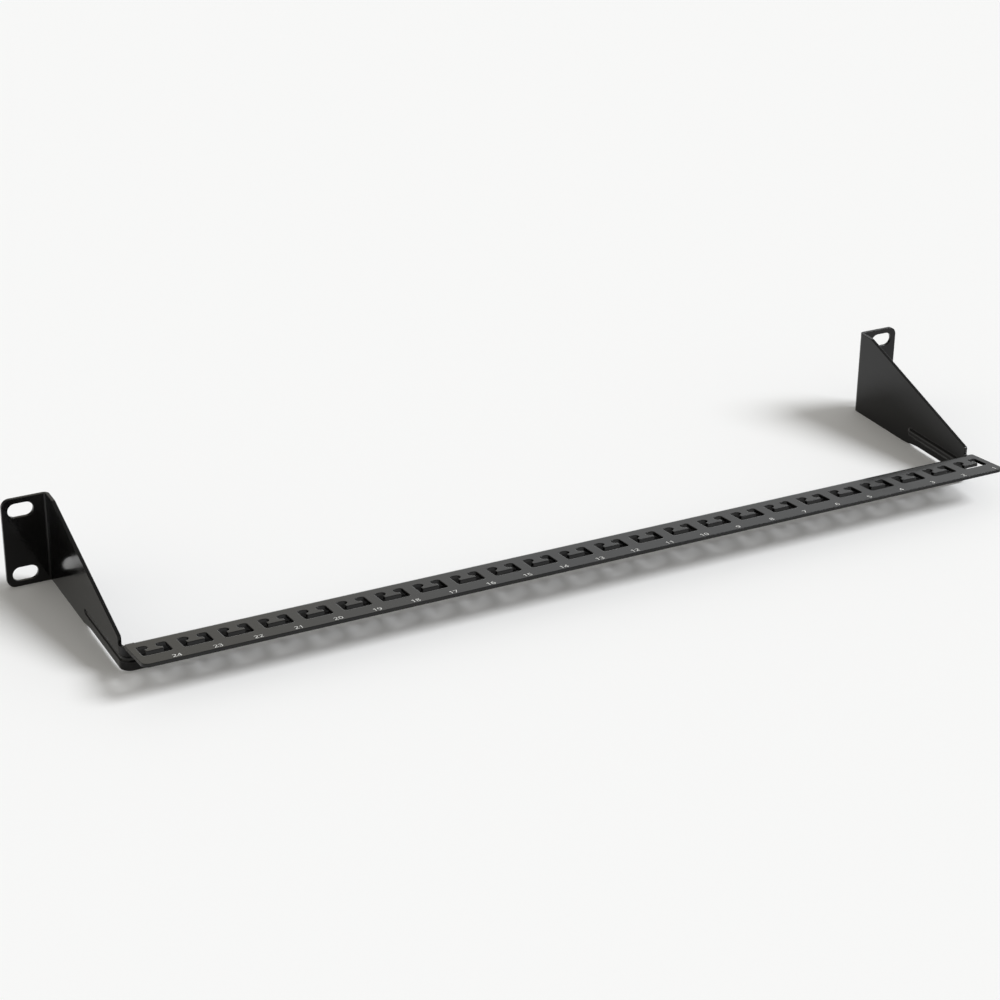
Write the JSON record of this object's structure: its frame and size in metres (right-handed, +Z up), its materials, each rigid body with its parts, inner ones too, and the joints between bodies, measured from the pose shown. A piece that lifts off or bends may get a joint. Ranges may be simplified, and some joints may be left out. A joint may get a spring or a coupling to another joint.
{
  "type": "rack cable bracket",
  "caption": "Folded steel bracket for a rack: slotted ears and tapered arms carry a long sloping bar whose cut-outs take cable ties behind a panel.",
  "frame": {"origin": "middle of the four ear slots, on the ears' face toward the bar", "axes": "+X along the bar, +Z up, and the arms and bar stand out along -Y"},
  "size_m": [0.4826, 0.1252, 0.0436],
  "materials": {
    "black_paint": "gloss",
    "white_print": "matte"
  },
  "bodies": {
    "root": {"bracket": "black_paint"}
  },
  "joints": []
}
